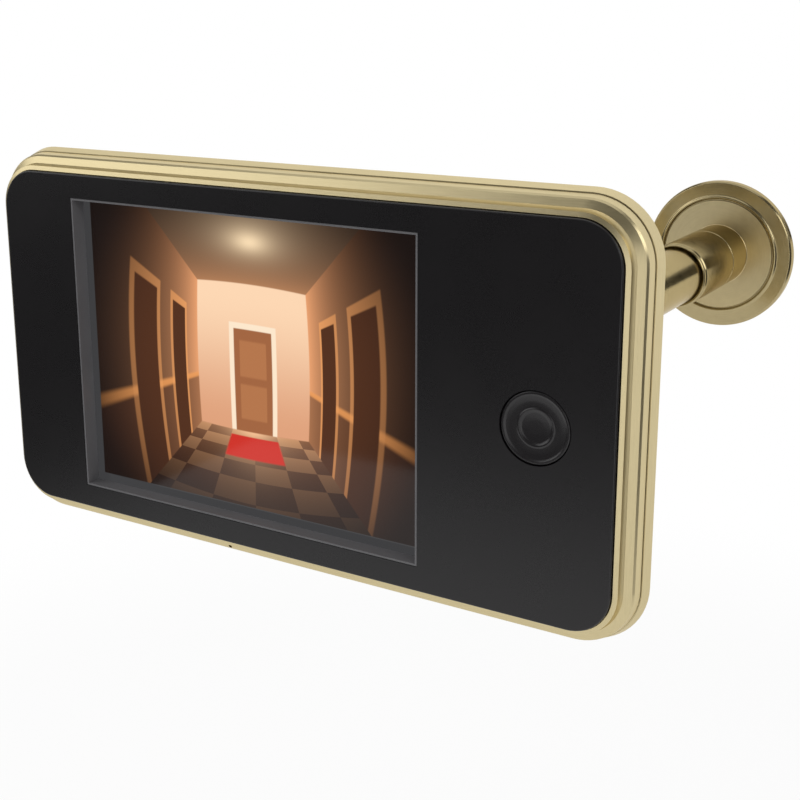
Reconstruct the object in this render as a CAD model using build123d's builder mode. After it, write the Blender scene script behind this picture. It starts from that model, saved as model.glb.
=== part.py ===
from build123d import *
import os

# A peephole door camera: a battery monitor that hangs on a plate on the inside of a door, and a camera
# head outside, joined through the door by a clamp tube. Millimetres.
# Origin: centre of the hole at the door's inner face. +Y runs out through the door, +X is to the
# viewer's right, +Z is up. Depths are measured from the front of the display panel towards the door.

# Display panel and the place of the monitor on its door hole
panel_width = 122.0
panel_height = 63.2
panel_corner = 7.0
panel_thickness = 1.8
unit_depth = 18.0
hole_from_right = 17.0
hole_from_top = 21.9
hole_from_centre_x = panel_width / 2 - hole_from_right
hole_from_centre_z = panel_height / 2 - hole_from_top

# Screen window and call button in the panel
window_left_margin = 16.95
window_right_margin = 33.55
window_edge_margin = 4.675
window_width = panel_width - window_left_margin - window_right_margin
window_height = panel_height - window_edge_margin * 2
window_centre_x = (window_left_margin - window_right_margin) / 2
button_diameter = 11.5
button_from_right = 12.9
button_centre_x = panel_width / 2 - button_from_right
button_centre_z = -0.4
button_travel = 0.5

# Through-door parts
door_thickness = 80.0
flange_diameter = 31.0
flange_thickness = 3.4
barrel_reach = 27.0
stem_reach = 9.0
tube_bore = 8.0
tube_wall = 1.6
barrel_wall = 0.65
tube_in_barrel = 4.5

# Wall plate and hooks
plate_thickness = 1.5
pad_thickness = 0.8
lift_travel = 3.5

# Fits and overruns
running_clearance = 0.05
seat_clearance = 0.15
open_clearance = 0.3
cut_overrun = 1.0

# Fasteners
screw_diameter = 2.0
screw_head_diameter = 3.8
screw_head_height = 1.4
lock_screw_diameter = 2.0
lock_screw_length = 5.0

# Places that follow from the sizes above
wall_air = 0.5
back_y = -wall_air
panel_front_y = back_y - unit_depth
unit_x = -hole_from_centre_x
unit_z = -hole_from_centre_z
flange_near_y = door_thickness
stem_end_y = flange_near_y - stem_reach
barrel_end_y = flange_near_y - barrel_reach
tube_end_y = barrel_end_y + tube_in_barrel
tube_diameter = tube_bore + tube_wall * 2
barrel_bore_radius = tube_diameter / 2 + running_clearance
barrel_diameter = (barrel_bore_radius + barrel_wall) * 2


def at_depth(depth):
    """Drawing plane at a depth behind the panel's front: X right, Y up, its normal towards the viewer."""
    return Plane(origin=(unit_x, panel_front_y + depth, unit_z), x_dir=(1, 0, 0), z_dir=(0, -1, 0))


def seen_from_above(height=0):
    """Drawing plane level at a height over the panel's middle: X right, Y is the depth behind its front."""
    return Plane(origin=(unit_x, panel_front_y, unit_z + height), x_dir=(1, 0, 0), z_dir=(0, 0, 1))


def across_barrel(y):
    """Drawing plane across the barrel's axis at a distance along it, its normal towards the door."""
    return Plane(origin=(0, y, 0), x_dir=(-1, 0, 0), z_dir=(0, 1, 0))


# Half planes for turned pieces: X is the radius, Y runs along the barrel's axis
barrel_half_plane = Plane(origin=(0, 0, 0), x_dir=(1, 0, 0), z_dir=(0, 0, 1))

# The rim is swept round half of the panel's outline, from top middle to bottom middle, and mirrored
rim_plane = Plane(origin=(unit_x, panel_front_y, unit_z + panel_height / 2), x_dir=(0, 0, 1), z_dir=(-1, 0, 0))
unit_mid_plane = Plane(origin=(unit_x, 0, 0), x_dir=(0, 1, 0), z_dir=(1, 0, 0))
with BuildLine(at_depth(0)) as half_outline:
    FilletPolyline(
        (0, panel_height / 2),
        (panel_width / 2, panel_height / 2),
        (panel_width / 2, -panel_height / 2),
        (0, -panel_height / 2),
        radius=panel_corner,
    )


def finish(piece, name):
    """Label a finished piece and write it to its own file."""
    piece.part.label = name
    export_step(piece.part, f"parts/{name}.step")


os.makedirs("parts", exist_ok=True)

# Front frame: the satin metal-look bezel, with its stepped rim, the web that carries the panel and
# the bosses that carry the board
lip_gap = 0.15
lip_depth = 0.6
lip_edge_depth = 0.8
lip_edge_out = 0.9
cove_out = 1.2
cove_depth = 2.3
ridge_out = 2.4
ridge_depth = 2.8
ridge_round = 0.3
band_out = 3.0
seam_depth = 4.6
seam_gap = 0.2
skirt_wall = 1.6
web_thickness = 1.1
web_back = panel_thickness + web_thickness
surround_flange = 1.6
surround_wall = 0.4
button_flange_out = 1.3
board_front = 6.2
board_thickness = 1.6
board_back = board_front + board_thickness
boss_diameter = 5.0
thread_clearance = 0.02
screw_tip_depth = 3.6
screen_side_border = 2.25
screen_edge_border = 3.075
screen_width = window_width + screen_side_border * 2
screen_height = window_height + screen_edge_border * 2
screen_right = window_centre_x + screen_width / 2
board_edge_air = 3.4
board_half_height = panel_height / 2 - board_edge_air
board_screw_from_screen = 4.3
board_screw_from_edge = 2.7
housing_screw_from_right = 9.4
housing_screw_from_top = 10.2
housing_screw_from_bottom = 11.0
board_screw_x = screen_right + board_screw_from_screen
board_screw_z = board_half_height - board_screw_from_edge
housing_screw_x = panel_width / 2 - housing_screw_from_right
housing_screw_top_z = panel_height / 2 - housing_screw_from_top
housing_screw_bottom_z = housing_screw_from_bottom - panel_height / 2
board_screw_places = [(board_screw_x, board_screw_z), (board_screw_x, -board_screw_z)]
housing_screw_places = [(housing_screw_x, housing_screw_top_z), (housing_screw_x, housing_screw_bottom_z)]
pinhole_diameter = 0.7
pinhole_x = -12.5
pinhole_out = 2.1
pinhole_start = 2.4
pinhole_reach = 1.5

with BuildPart() as front_frame:
    with BuildSketch(rim_plane) as rim_section:
        with BuildLine():
            Polyline((lip_gap, web_back), (lip_gap, lip_depth), (lip_edge_out, lip_edge_depth))
            ThreePointArc(
                (lip_edge_out, lip_edge_depth),
                ((lip_edge_out + cove_out) / 2 - lip_gap / 2, (lip_edge_depth + cove_depth) / 2 + lip_gap),
                (cove_out, cove_depth),
            )
            Polyline(
                (cove_out, cove_depth),
                (ridge_out, ridge_depth),
                (ridge_out + ridge_round, ridge_depth + ridge_round),
                (band_out, seam_depth),
                (band_out - skirt_wall, seam_depth),
                (band_out - skirt_wall, web_back),
                (lip_gap, web_back),
            )
        make_face()
    sweep(path=half_outline.line)
    mirror(about=unit_mid_plane)
    with BuildSketch(at_depth(web_back)):
        RectangleRounded(panel_width + lip_gap * 2, panel_height + lip_gap * 2, panel_corner + lip_gap)
    extrude(amount=web_thickness)
    with BuildSketch(at_depth(board_front)):
        with Locations(*board_screw_places, *housing_screw_places):
            Circle(boss_diameter / 2)
    extrude(amount=board_front - web_back)
    with BuildSketch(at_depth(board_front)):
        with Locations(*board_screw_places, *housing_screw_places):
            Circle(screw_diameter / 2 + thread_clearance)
    extrude(amount=board_front - screw_tip_depth, mode=Mode.SUBTRACT)
    with BuildSketch(at_depth(web_back + cut_overrun)):
        with Locations((window_centre_x, 0)):
            Rectangle(
                window_width + (surround_flange + seat_clearance) * 2,
                window_height + (surround_flange + seat_clearance) * 2,
            )
        with Locations((button_centre_x, button_centre_z)):
            Circle(button_diameter / 2 + open_clearance)
    extrude(amount=web_thickness + cut_overrun * 2, mode=Mode.SUBTRACT)
    with BuildSketch(Plane(
        origin=(unit_x + pinhole_x, panel_front_y + pinhole_start, unit_z - panel_height / 2 - pinhole_out),
        x_dir=(1, 0, 0),
        z_dir=(0, 1, 0),
    )):
        Circle(pinhole_diameter / 2)
    extrude(amount=pinhole_reach, mode=Mode.SUBTRACT)
finish(front_frame, "front_frame")

# Display panel: one flat sheet of black acrylic with a window and a button hole
panel_edge_round = 0.25
with BuildPart() as front_panel:
    with BuildSketch(at_depth(panel_thickness)):
        RectangleRounded(panel_width, panel_height, panel_corner)
    extrude(amount=panel_thickness)
    fillet(front_panel.faces().sort_by(Axis.Y)[0].edges(), radius=panel_edge_round)
    with BuildSketch(at_depth(panel_thickness + cut_overrun)):
        with Locations((window_centre_x, 0)):
            Rectangle(window_width + surround_wall * 2, window_height + surround_wall * 2)
        with Locations((button_centre_x, button_centre_z)):
            Circle(button_diameter / 2 + seat_clearance)
    extrude(amount=panel_thickness + cut_overrun * 2, mode=Mode.SUBTRACT)
finish(front_panel, "front_panel")

# Screen surround: the grey frame that lines the window and holds the screen off the panel
surround_proud_back = 0.1
with BuildPart() as screen_surround:
    with BuildSketch(at_depth(web_back)):
        with Locations((window_centre_x, 0)):
            Rectangle(window_width + surround_flange * 2, window_height + surround_flange * 2)
    extrude(amount=web_thickness)
    with BuildSketch(at_depth(panel_thickness)):
        with Locations((window_centre_x, 0)):
            Rectangle(
                window_width + (surround_wall - running_clearance) * 2,
                window_height + (surround_wall - running_clearance) * 2,
            )
    extrude(amount=panel_thickness - surround_proud_back)
    with BuildSketch(at_depth(web_back + cut_overrun)):
        with Locations((window_centre_x, 0)):
            Rectangle(window_width, window_height)
    extrude(amount=web_back + cut_overrun * 2, mode=Mode.SUBTRACT)
finish(screen_surround, "screen_surround")

# Screen: liquid crystal glass in front of its backlight tray
glass_thickness = 1.2
backlight_thickness = 1.2
backlight_rim = 1.0
glass_back = web_back + glass_thickness
backlight_back = glass_back + backlight_thickness
with BuildPart() as lcd_glass:
    with BuildSketch(at_depth(glass_back)):
        with Locations((window_centre_x, 0)):
            Rectangle(screen_width, screen_height)
    extrude(amount=glass_thickness)
finish(lcd_glass, "lcd_glass")

with BuildPart() as lcd_backlight:
    with BuildSketch(at_depth(backlight_back)):
        with Locations((window_centre_x, 0)):
            Rectangle(screen_width - backlight_rim, screen_height - backlight_rim)
    extrude(amount=backlight_thickness)
    chamfer(lcd_backlight.faces().sort_by(Axis.Y)[-1].edges(), length=backlight_rim / 3)
finish(lcd_backlight, "lcd_backlight")

# Call button: a dished cap with a flange that the web stops, pressing the switch's plunger
button_proud_back = 0.1
button_rim_width = 0.55
button_dish_depth = 0.55
button_disc_share = 0.5
button_step = 0.12
button_flange_thickness = 0.8
button_back = web_back + button_flange_thickness
with BuildPart() as button_cap:
    button_radius = button_diameter / 2
    disc_radius = button_radius * button_disc_share
    with BuildSketch(Plane(
        origin=(unit_x + button_centre_x, panel_front_y, unit_z + button_centre_z),
        x_dir=(1, 0, 0),
        z_dir=(0, 0, 1),
    )):
        with BuildLine():
            Polyline(
                (0, button_dish_depth),
                (disc_radius, button_dish_depth - button_step),
                (disc_radius, button_dish_depth - button_step * 2),
                (button_radius - button_rim_width, button_proud_back + button_step),
                (button_radius - button_rim_width / 2, button_proud_back),
                (button_radius, button_proud_back + button_step),
                (button_radius, web_back),
                (button_radius + button_flange_out, web_back),
                (button_radius + button_flange_out, button_back),
                (0, button_back),
                close=True,
            )
        make_face()
    revolve(axis=Axis((unit_x + button_centre_x, 0, unit_z + button_centre_z), (0, 1, 0)))
finish(button_cap, "button_cap")

# Tact switch under the button: a body on the board and the plunger that the cap pushes in
switch_width = 6.0
switch_height = board_front - button_back - button_travel - seat_clearance
plunger_diameter = 3.0
plunger_floor = 0.25
with BuildPart() as switch_plunger:
    with BuildSketch(at_depth(board_front - plunger_floor - button_travel - seat_clearance)):
        with Locations((button_centre_x, button_centre_z)):
            Circle(plunger_diameter / 2)
    extrude(amount=board_front - plunger_floor - button_travel - seat_clearance - button_back)
finish(switch_plunger, "switch_plunger")

with BuildPart() as switch_body:
    with BuildSketch(at_depth(board_front)):
        with Locations((button_centre_x, button_centre_z)):
            Rectangle(switch_width, switch_width)
    extrude(amount=switch_height)
    with BuildSketch(at_depth(board_front - plunger_floor)):
        with Locations((button_centre_x, button_centre_z)):
            Circle(plunger_diameter / 2 + running_clearance)
    extrude(amount=switch_height, mode=Mode.SUBTRACT)
finish(switch_body, "switch_body")

# Main board: beside and behind the screen's right part, held by its own screws and the housing's
board_width = 45.5
board_right = panel_width / 2 - board_edge_air
board_left = board_right - board_width
board_corner = 1.5
screw_hole_clearance = 0.15
with BuildPart() as main_board:
    with BuildSketch(at_depth(board_back)):
        with Locations(((board_left + board_right) / 2, 0)):
            RectangleRounded(board_right - board_left, board_half_height * 2, board_corner)
        with Locations(*board_screw_places, *housing_screw_places):
            Circle(screw_diameter / 2 + screw_hole_clearance, mode=Mode.SUBTRACT)
    extrude(amount=board_thickness)
finish(main_board, "main_board")

# Chips on the back of the board: the processor, its memory and the power regulator
chip_height = 1.1
chip_edge = 0.15
processor_width = 12.0
memory_width = 8.0
regulator_width = 5.0
with BuildPart() as board_chips:
    with BuildSketch(at_depth(board_back + chip_height)):
        with Locations((board_left + processor_width, -board_corner)):
            Rectangle(processor_width, processor_width)
        with Locations((board_left + processor_width * 2 + memory_width / 2, -processor_width)):
            Rectangle(memory_width, processor_width)
        with Locations((board_left + processor_width, processor_width * 2 - regulator_width)):
            Rectangle(regulator_width, regulator_width)
    extrude(amount=chip_height)
    chamfer(board_chips.faces().group_by(Axis.Y)[-1].edges(), length=chip_edge)
finish(board_chips, "board_chips")

# Screen flex: the strip from the glass's right edge to its socket on the front of the board
flex_thickness = 0.2
flex_width = 20.0
flex_bend = 0.8
socket_width = 4.0
socket_height = 1.4
lcd_socket_left = screen_right + socket_width + flex_bend * 2
glass_middle = (web_back + glass_back) / 2
lcd_socket_middle = board_front - socket_height / 2
with BuildPart() as lcd_socket:
    with BuildSketch(at_depth(board_front)):
        with Locations((lcd_socket_left + socket_width / 2, 0)):
            Rectangle(socket_width, flex_width + socket_height)
    extrude(amount=socket_height)
finish(lcd_socket, "lcd_socket")

with BuildPart() as lcd_flex:
    with BuildLine(seen_from_above()) as flex_route:
        FilletPolyline(
            (screen_right, glass_middle),
            (screen_right + socket_width / 2, glass_middle),
            (lcd_socket_left - socket_width / 2, lcd_socket_middle),
            (lcd_socket_left, lcd_socket_middle),
            radius=flex_bend,
        )
    with BuildSketch(Plane(origin=flex_route.line @ 0, x_dir=(0, 0, 1), z_dir=flex_route.line % 0)):
        Rectangle(flex_width, flex_thickness)
    sweep(path=flex_route.line)
finish(lcd_flex, "lcd_flex")

# Rear shell: side walls that step out from the frame and taper in towards the door, and the back with
# its battery opening and the recess for the wall plate
tongue_inside = 0.4
tongue_depth = 3.3
shell_out = 3.2
widest_out = 3.8
widest_depth = 6.6
back_in = -2.0
back_edge_round = 0.9
side_wall = 1.9
rear_wall = 1.8
recess_depth = 3.0
recess_wall = 1.2
recess_side_air = 1.2
recess_floor = unit_depth - recess_depth
recess_inner = recess_floor - recess_wall
bay_from_left = 22.1
bay_centre_x = bay_from_left - panel_width / 2
cell_depth_room = 7.5
cell_diameter = unit_depth - cell_depth_room
cell_end_room = 9.35
cell_length = panel_height - cell_end_room * 2
cell_gap = 0.6
cell_pitch = cell_diameter + cell_gap
cell_count = 3
tray_wall = 1.0
tray_cell_air = 0.5
tray_inner_width = cell_pitch * (cell_count - 1) + cell_diameter + tray_cell_air * 2
tray_right = bay_centre_x + tray_inner_width / 2 + tray_wall
plate_from_tray = 5.45
plate_from_right = 6.6
plate_from_bottom = 10.4
plate_from_top = 6.2
plate_left = tray_right + plate_from_tray
plate_right = panel_width / 2 - plate_from_right
plate_bottom = plate_from_bottom - panel_height / 2
plate_top = panel_height / 2 - plate_from_top
plate_width = plate_right - plate_left
plate_height = plate_top - plate_bottom
recess_left = plate_left - recess_side_air
recess_right = plate_right + recess_side_air
recess_bottom = plate_bottom - lift_travel - open_clearance
recess_top = plate_top + open_clearance * 2
recess_centre = ((recess_left + recess_right) / 2, (recess_bottom + recess_top) / 2)
recess_width = recess_right - recess_left
recess_height = recess_top - recess_bottom
hook_width = 6.0
hook_from_left = 9.6
hook_from_right = 27.4
hook_from_top = 10.4
hook_from_bottom = 7.2
hook_left_x = plate_left + hook_from_left
hook_right_x = plate_right - hook_from_right
hook_upper_z = plate_top - hook_from_top
hook_lower_z = plate_bottom + hook_from_bottom
hook_tip_height = 3.2
hook_tip_thickness = 1.2
hook_places = [(x, z) for x in (hook_left_x, hook_right_x) for z in (hook_upper_z, hook_lower_z)]
neck_height = plate_thickness
slot_height = neck_height + lift_travel + open_clearance
ribbon_port = 10.0
screw_pocket_depth = 3.0
screw_pocket_clearance = 0.3
pocket_wall = 0.9
pocket_radius = screw_head_diameter / 2 + screw_pocket_clearance
lock_boss_width = 8.0
lock_from_recess = 6.55
lock_screw_x = recess_left + lock_from_recess
lock_screw_depth = 16.4
lock_boss_bottom = recess_bottom - lock_screw_length + cut_overrun
spring_length = 4.4
contact_thickness = 0.4
tray_inner_height = cell_length + spring_length + contact_thickness * 2
mouth_height = tray_inner_height - contact_thickness * 2
door_right = tray_right
door_height = mouth_height + tray_wall * 2
door_thickness_plate = 1.2
door_tongue = 1.0
door_tongue_thickness = 0.5
door_tongue_depth = unit_depth - door_thickness_plate / 2 - door_tongue_thickness / 2
door_air = 0.1
door_cut_left = -(panel_width / 2 + widest_out)
door_cut_right = door_right + door_air
door_cut_place = ((door_cut_left + door_cut_right) / 2, 0)

with BuildPart() as rear_shell:
    with BuildSketch(rim_plane) as side_section:
        with BuildLine():
            Polyline(
                (tongue_inside, tongue_depth),
                (band_out - skirt_wall - seat_clearance, tongue_depth),
                (band_out - skirt_wall - seat_clearance, seam_depth + seam_gap),
                (shell_out, seam_depth + seam_gap),
                (widest_out, widest_depth),
                (back_in, unit_depth),
                (back_in - side_wall, unit_depth),
                (widest_out - side_wall, widest_depth),
                (tongue_inside, seam_depth + seam_gap),
                close=True,
            )
        make_face()
        back_corner = side_section.vertices().sort_by_distance((back_in, unit_depth, 0))[0]
        fillet(back_corner, radius=back_edge_round)
    sweep(path=half_outline.line)
    mirror(about=unit_mid_plane)
    with BuildSketch(at_depth(unit_depth)):
        back_mid = back_in - side_wall / 2
        RectangleRounded(panel_width + back_mid * 2, panel_height + back_mid * 2, panel_corner + back_mid)
    extrude(amount=rear_wall)
    with BuildSketch(at_depth(unit_depth - rear_wall / 2)):
        with Locations(recess_centre):
            Rectangle(recess_width + recess_wall * 2, recess_height + recess_wall * 2)
    extrude(amount=unit_depth - rear_wall / 2 - recess_inner)
    with BuildSketch(at_depth(recess_floor + rear_wall)):
        with Locations((lock_screw_x, (lock_boss_bottom + recess_bottom) / 2)):
            Rectangle(lock_boss_width, recess_bottom - lock_boss_bottom)
    extrude(amount=recess_floor + rear_wall - recess_inner)
    with BuildSketch(at_depth(unit_depth + cut_overrun)):
        with Locations(recess_centre):
            Rectangle(recess_width, recess_height)
    extrude(amount=recess_depth + cut_overrun, mode=Mode.SUBTRACT)
    with BuildSketch(at_depth(recess_floor)):
        with Locations(*housing_screw_places):
            Circle(pocket_radius + pocket_wall)
    extrude(amount=recess_floor - board_back)
    with BuildSketch(at_depth(recess_floor + cut_overrun)):
        with Locations(*housing_screw_places):
            Circle(pocket_radius)
    extrude(amount=screw_pocket_depth + cut_overrun, mode=Mode.SUBTRACT)
    with BuildSketch(at_depth(recess_floor + cut_overrun)):
        with Locations(*housing_screw_places):
            Circle(screw_diameter / 2 + screw_hole_clearance)
        for hook_x, hook_z in hook_places:
            with Locations((hook_x, hook_z + neck_height / 2 - slot_height / 2)):
                Rectangle(hook_width + open_clearance * 2, slot_height)
        with Locations((hole_from_centre_x, hole_from_centre_z - lift_travel / 2)):
            RectangleRounded(ribbon_port, ribbon_port + lift_travel, ribbon_port / 3)
    extrude(amount=recess_floor - board_back + cut_overrun * 2, mode=Mode.SUBTRACT)
    with BuildSketch(Plane(
        origin=(unit_x + lock_screw_x, panel_front_y + lock_screw_depth, unit_z + recess_bottom),
        x_dir=(1, 0, 0),
        z_dir=(0, 0, -1),
    )):
        Circle(lock_screw_diameter / 2 + running_clearance)
    extrude(amount=lock_screw_length + cut_overrun, mode=Mode.SUBTRACT)
    with BuildSketch(at_depth(unit_depth + cut_overrun)):
        with Locations(door_cut_place):
            Rectangle(door_cut_right - door_cut_left, door_height + door_air * 2)
    extrude(amount=door_thickness_plate + cut_overrun, mode=Mode.SUBTRACT)
    with BuildSketch(at_depth(door_tongue_depth + door_tongue_thickness + door_air)):
        with Locations(door_cut_place):
            Rectangle(door_cut_right - door_cut_left, door_height + (door_tongue + door_air) * 2)
    extrude(amount=door_tongue_thickness + door_air * 2, mode=Mode.SUBTRACT)
    with BuildSketch(at_depth(unit_depth)):
        with Locations((bay_centre_x, 0)):
            Rectangle(tray_inner_width, mouth_height)
    extrude(amount=rear_wall + cut_overrun, mode=Mode.SUBTRACT)
finish(rear_shell, "rear_shell")

# Battery door: slides out past the left edge on two tongues; its end follows the shell's taper
grip_count = 4
grip_pitch = 2.2
grip_width = 0.9
grip_depth = 0.35
grip_length = 18.0


def shell_out_at(depth):
    """How far the tapered side stands out from the panel's edge at a depth."""
    return widest_out + (back_in - widest_out) * (depth - widest_depth) / (unit_depth - widest_depth)


with BuildPart() as battery_door:
    door_front = unit_depth - door_thickness_plate
    with BuildSketch(seen_from_above(-door_height / 2)):
        with BuildLine():
            Polyline(
                (door_right, door_front),
                (door_right, unit_depth),
                (-panel_width / 2 - back_in + back_edge_round / 2, unit_depth),
                (-panel_width / 2 - shell_out_at(unit_depth - back_edge_round / 2), unit_depth - back_edge_round / 2),
                (-panel_width / 2 - shell_out_at(door_front), door_front),
                close=True,
            )
        make_face()
    extrude(amount=door_height)
    tongue_left = -panel_width / 2 - back_in + side_wall
    with BuildSketch(at_depth(door_tongue_depth + door_tongue_thickness)):
        with Locations(((tongue_left + door_right) / 2, 0)):
            Rectangle(door_right - tongue_left, door_height + door_tongue * 2)
    extrude(amount=door_tongue_thickness)
    with BuildSketch(at_depth(unit_depth + cut_overrun)):
        with Locations((tongue_left + grip_pitch * grip_count, 0)):
            with GridLocations(grip_pitch, 0, grip_count, 1):
                SlotOverall(grip_length, grip_width, rotation=90)
    extrude(amount=grip_depth + cut_overrun, mode=Mode.SUBTRACT)
finish(battery_door, "battery_door")

# Battery tray: an open box that holds three cells side by side
tray_front = backlight_back + seat_clearance
tray_floor = 0.5
cell_depth = tray_front + tray_floor + running_clearance + cell_diameter / 2
tray_back = unit_depth - rear_wall - seat_clearance
with BuildPart() as battery_tray:
    with BuildSketch(at_depth(tray_back)):
        with Locations((bay_centre_x, 0)):
            Rectangle(tray_inner_width + tray_wall * 2, tray_inner_height + tray_wall * 2)
    extrude(amount=tray_back - tray_front)
    with BuildSketch(at_depth(tray_back)):
        with Locations((bay_centre_x, 0)):
            Rectangle(tray_inner_width, tray_inner_height)
    extrude(amount=tray_back - tray_front - tray_floor, mode=Mode.SUBTRACT)
finish(battery_tray, "battery_tray")

# Cells: every other one is turned over; each one's nub touches a plate and its flat end a spring
nub_diameter = 3.8
nub_length = 0.8
cell_edge = 0.3
cell_columns = [bay_centre_x + cell_pitch * (column - (cell_count - 1) / 2) for column in range(cell_count)]
cell_turns = [1 if column % 2 == 0 else -1 for column in range(cell_count)]
plate_face = tray_inner_height / 2 - contact_thickness


def down_the_bay(x, z, turn):
    """Plane across a cell at a height, with its normal from the cell's nub to its flat end."""
    return Plane(
        origin=(unit_x + x, panel_front_y + cell_depth, unit_z + z * turn),
        x_dir=(1, 0, 0),
        z_dir=(0, 0, -turn),
    )


with BuildPart() as battery_cells:
    for cell_x, cell_turn in zip(cell_columns, cell_turns):
        with BuildSketch(down_the_bay(cell_x, plate_face, cell_turn)):
            Circle(nub_diameter / 2)
        extrude(amount=nub_length)
        with BuildSketch(down_the_bay(cell_x, plate_face - nub_length, cell_turn)):
            Circle(cell_diameter / 2)
        extrude(amount=cell_length - nub_length)
    chamfer(battery_cells.edges().filter_by(GeomType.CIRCLE).group_by(SortBy.RADIUS)[-1], length=cell_edge)
finish(battery_cells, "battery_cells")

# Contact plates: two bridges between neighbours and two single end plates, against the tray's ends
contact_inset = 0.95
contact_width = cell_diameter - contact_inset * 2
contact_places = [
    ((cell_columns[0] + cell_columns[1]) / 2, cell_pitch + contact_width, 1),
    (cell_columns[2], contact_width, 1),
    (cell_columns[0], contact_width, -1),
    ((cell_columns[1] + cell_columns[2]) / 2, cell_pitch + contact_width, -1),
]
with BuildPart() as battery_contacts:
    for contact_x, contact_length, contact_side in contact_places:
        with BuildSketch(down_the_bay(contact_x, tray_inner_height / 2, contact_side)):
            Rectangle(contact_length, contact_width)
        extrude(amount=contact_thickness)
finish(battery_contacts, "battery_contacts")

# Contact springs: bent leaves of sheet that press each cell's flat end
leaf_thickness = 0.3
leaf_width = 5.0
leaf_end_inset = 1.45
leaf_half_length = cell_diameter / 2 - leaf_end_inset
leaf_foot = 1.2
leaf_crest_air = 0.1
leaf_tail_height = 1.6
leaf_bend = 0.9
leaf_line = leaf_thickness / 2
with BuildPart() as battery_springs:
    for spring_x, spring_turn in zip(cell_columns, cell_turns):
        leaf_plane = Plane(
            origin=(unit_x + spring_x, panel_front_y + cell_depth, unit_z - plate_face * spring_turn),
            x_dir=(0, 1, 0),
            z_dir=(spring_turn, 0, 0),
        )
        with BuildLine(leaf_plane) as leaf:
            FilletPolyline(
                (-leaf_half_length, leaf_line),
                (-leaf_half_length + leaf_foot, leaf_line),
                (0, spring_length - leaf_crest_air),
                (leaf_half_length - leaf_foot, leaf_tail_height),
                radius=leaf_bend,
            )
        with BuildSketch(Plane(origin=leaf.line @ 0, x_dir=(1, 0, 0), z_dir=leaf.line % 0)):
            Rectangle(leaf_width, leaf_thickness)
        sweep(path=leaf.line)
finish(battery_springs, "battery_springs")

# Screws: two hold the board to the frame, two longer ones hold the rear shell and the board together
drive_width = 1.6
drive_depth = 0.7
drive_slot = 0.4
head_round = 0.4


def pan_screws(places, head_seat, tip):
    """Screws with round heads and cross recesses, from a head seat's depth forward to a tip's depth."""
    with BuildPart() as screws:
        with BuildSketch(at_depth(head_seat)):
            with Locations(*places):
                Circle(screw_diameter / 2)
        extrude(amount=head_seat - tip)
        with BuildSketch(at_depth(head_seat + screw_head_height)):
            with Locations(*places):
                Circle(screw_head_diameter / 2)
        extrude(amount=screw_head_height)
        fillet(screws.faces().group_by(Axis.Y)[-1].edges(), radius=head_round)
        with BuildSketch(at_depth(head_seat + screw_head_height)):
            with Locations(*places):
                Rectangle(drive_width, drive_slot)
                Rectangle(drive_slot, drive_width)
        extrude(amount=drive_depth, mode=Mode.SUBTRACT)
    return screws


screw_tip_air = 0.3
board_screws = pan_screws(board_screw_places, board_back, screw_tip_depth + screw_tip_air)
finish(board_screws, "board_screws")
housing_screws = pan_screws(
    housing_screw_places, recess_floor - screw_pocket_depth, screw_tip_depth + screw_tip_air
)
finish(housing_screws, "housing_screws")

# Lock screw: a grub screw in the bottom wall; turned in, its tip stops the monitor from being lifted
hex_width = 0.9
hex_depth = 1.4
lock_tip_air = 0.1
lock_tip_chamfer = 0.25
lock_plane = Plane(
    origin=(unit_x + lock_screw_x, panel_front_y + lock_screw_depth, unit_z + recess_bottom - lock_tip_air),
    x_dir=(1, 0, 0),
    z_dir=(0, 0, -1),
)
with BuildPart() as lock_screw:
    with BuildSketch(lock_plane):
        Circle(lock_screw_diameter / 2)
    extrude(amount=lock_screw_length)
    chamfer(lock_screw.faces().sort_by(Axis.Z)[-1].edges(), length=lock_tip_chamfer)
    with BuildSketch(lock_plane.offset(lock_screw_length)):
        RegularPolygon(hex_width / 2, 6, major_radius=False)
    extrude(amount=-hex_depth, mode=Mode.SUBTRACT)
finish(lock_screw, "lock_screw")

# Wall plate: a steel sheet with four hooks bent up out of it, held to the door by pads and the clamp
plate_corner = 2.0
plate_back_depth = unit_depth + wall_air - pad_thickness
plate_front_depth = plate_back_depth - plate_thickness
tube_hole_clearance = 0.2
hook_window = 6.5
hook_side_air = 0.5
hook_reach = plate_front_depth - recess_inner + seat_clearance + hook_tip_thickness
plate_centre = ((plate_left + plate_right) / 2, (plate_bottom + plate_top) / 2)
with BuildPart() as wall_plate:
    with BuildSketch(at_depth(plate_back_depth)):
        with Locations(plate_centre):
            RectangleRounded(plate_width, plate_height, plate_corner)
        with Locations((hole_from_centre_x, hole_from_centre_z)):
            Circle(tube_diameter / 2 + tube_hole_clearance, mode=Mode.SUBTRACT)
        for hook_x, hook_z in hook_places:
            with Locations((hook_x, hook_z - neck_height / 2 - hook_window / 2)):
                Rectangle(hook_width + hook_side_air * 2, hook_window, mode=Mode.SUBTRACT)
    extrude(amount=plate_thickness)
    with BuildSketch(at_depth(plate_front_depth)):
        with Locations(*hook_places):
            Rectangle(hook_width, neck_height)
    extrude(amount=hook_reach)
    with BuildSketch(at_depth(recess_inner - seat_clearance)):
        for hook_x, hook_z in hook_places:
            with Locations((hook_x, hook_z + hook_tip_height / 2)):
                Rectangle(hook_width, neck_height + hook_tip_height)
    extrude(amount=hook_tip_thickness)
finish(wall_plate, "wall_plate")

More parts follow.
